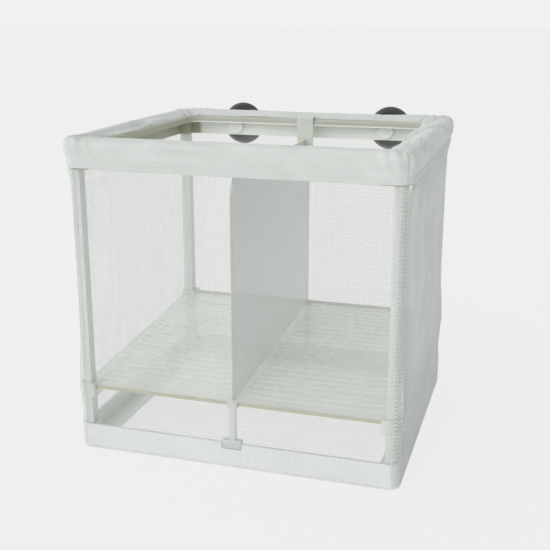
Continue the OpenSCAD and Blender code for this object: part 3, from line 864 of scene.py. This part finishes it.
CUP = [
    (0, 66.4), (1.6, 66.52), (2.8, 66.95), (3.3, 67.6), (3.3, 68.0), (3.1, 68.2), (3.1, 68.2), (2.4, 68.25),
    (2.4, 68.25), (2.35, 69.7), (2.4, 71.3), (2.4, 71.3), (4.3, 71.35), (4.7, 71.6), (4.7, 73.2), (4.9, 73.9),
    (6.2, 74.3), (8.0, 74.9), (8.7, 75.3), (9.0, 75.2), (9.4, 75.4), (10.2, 76.5), (11.1, 78.0), (11.7, 79.6),
    (11.95, 80.6), (12.0, 80.9), (11.85, 81.0), (11.5, 80.95), (11.2, 80.5), (10.3, 79.4), (9.2, 78.4),
    (8.9, 78.45), (8.6, 78.1), (6.6, 77.1), (4.2, 76.55), (1.9, 76.4), (1.6, 76.7), (0.9, 76.75), (0, 76.7),
]
for body, x in (("cup_left", -CUP_X), ("cup_right", CUP_X)):
    cup = make_piece("rubber_" + body, [lathe(x, smoothed(CUP))], RUBBER, body=body)
    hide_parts("suction_" + ("cup_left" if x < 0 else "cup_right"))


# The grid and cloth map of each hem strip, read again and not used
for side in range(4):
    grid, cloth = hems[side]


# Stage, lights and camera
BACKDROP = 0.885


def seen_ray(tree):
    """1 for rays that show a background to the camera, straight or by way of gloss or glass."""
    path = tree.nodes.new("ShaderNodeLightPath")
    seen = maths(tree, "MAXIMUM", path.outputs["Is Camera Ray"], path.outputs["Is Transmission Ray"])
    return maths(tree, "MAXIMUM", seen, path.outputs["Is Glossy Ray"])


def ground_material():
    """Pale ground. The camera sees it as bright as the backdrop, with the object's shadow on it. For all other rays it
    glows too, at a share of 0.7, a glow that lights the object from below though the ground is no lamp.
    """
    material, tree, shader = new_material("pale_ground")
    place = tree.nodes.new("ShaderNodeTexCoord").outputs["Object"]
    cloud = noise(tree, place, 3, 2)
    tree.links.new(
        tinted(tree, ranged(tree, cloud, 0, 1), (0.86, 0.86, 0.86), (0.85, 0.85, 0.845)),
        shader.inputs["Base Color"],
    )
    shader.inputs["Roughness"].default_value = 0.9
    shader.inputs["Specular IOR Level"].default_value = 0.1
    pale = node(tree, "ShaderNodeEmission", Strength=0.875)
    # Seen rays get 0.9 glow; all other rays get 0.7, which lights the object's lower parts from below.
    share = maths(tree, "MAXIMUM", maths(tree, "MULTIPLY", seen_ray(tree), 0.9), 0.7)
    mixed = tree.nodes.new("ShaderNodeMixShader")
    tree.links.new(share, mixed.inputs[0])
    tree.links.new(shader.outputs[0], mixed.inputs[1])
    tree.links.new(pale.outputs[0], mixed.inputs[2])
    tree.links.new(mixed.outputs[0], tree.nodes["Material Output"].inputs["Surface"])
    return material


bpy.ops.mesh.primitive_plane_add(size=30, location=(0, 0, -0.02 * MM))
ground = bpy.context.object
ground.name = "ground"
ground.data.materials.append(ground_material())

# The studio is brighter in front and on the left than behind, on the right and above
world = bpy.data.worlds.new("studio")
scene.world = world
world.use_nodes = True
tree = world.node_tree
studio = tree.nodes["Background"]
direction = tree.nodes.new("ShaderNodeTexCoord").outputs["Generated"]
slope = node(tree, "ShaderNodeVectorMath", operation="DOT_PRODUCT")
tree.links.new(direction, slope.inputs[0])
slope.inputs[1].default_value = (-0.45, -0.10, 0)
height = tree.nodes.new("ShaderNodeSeparateXYZ")
tree.links.new(direction, height.inputs[0])
overhead = maths(tree, "MULTIPLY", height.outputs["Z"], height.outputs["Z"])
overhead = maths(tree, "MULTIPLY", overhead, -0.5)
tilted = maths(tree, "ADD", slope.outputs["Value"], 1.05)
tree.links.new(maths(tree, "ADD", tilted, overhead), studio.inputs["Strength"])
studio.inputs["Color"].default_value = (1, 1, 1, 1)
backdrop = node(tree, "ShaderNodeBackground", Strength=BACKDROP)
backdrop.inputs["Color"].default_value = (1, 1, 1, 1)
either = tree.nodes.new("ShaderNodeMixShader")
tree.links.new(seen_ray(tree), either.inputs[0])
tree.links.new(studio.outputs[0], either.inputs[1])
tree.links.new(backdrop.outputs[0], either.inputs[2])
tree.links.new(either.outputs[0], tree.nodes["World Output"].inputs["Surface"])

# One large soft light from the front left
key = bpy.data.lights.new("key", "SUN")
key.energy = 0.58
key.angle = math.radians(45)
key_holder = bpy.data.objects.new("key", key)
key_holder.rotation_euler = Vector((0.30, 0.85, -0.40)).to_track_quat("-Z", "Y").to_euler()
scene.collection.objects.link(key_holder)

camera_data = bpy.data.cameras.new("camera")
camera_data.lens = 60
camera_data.sensor_width = 36
camera = bpy.data.objects.new("camera", camera_data)
camera.location = (0.1341, -0.4398, 0.2073)
camera.rotation_euler = (Vector((0, 0, 0.076)) - camera.location).to_track_quat("-Z", "Y").to_euler()
scene.collection.objects.link(camera)
scene.camera = camera
scene.view_settings.view_transform = "Standard"
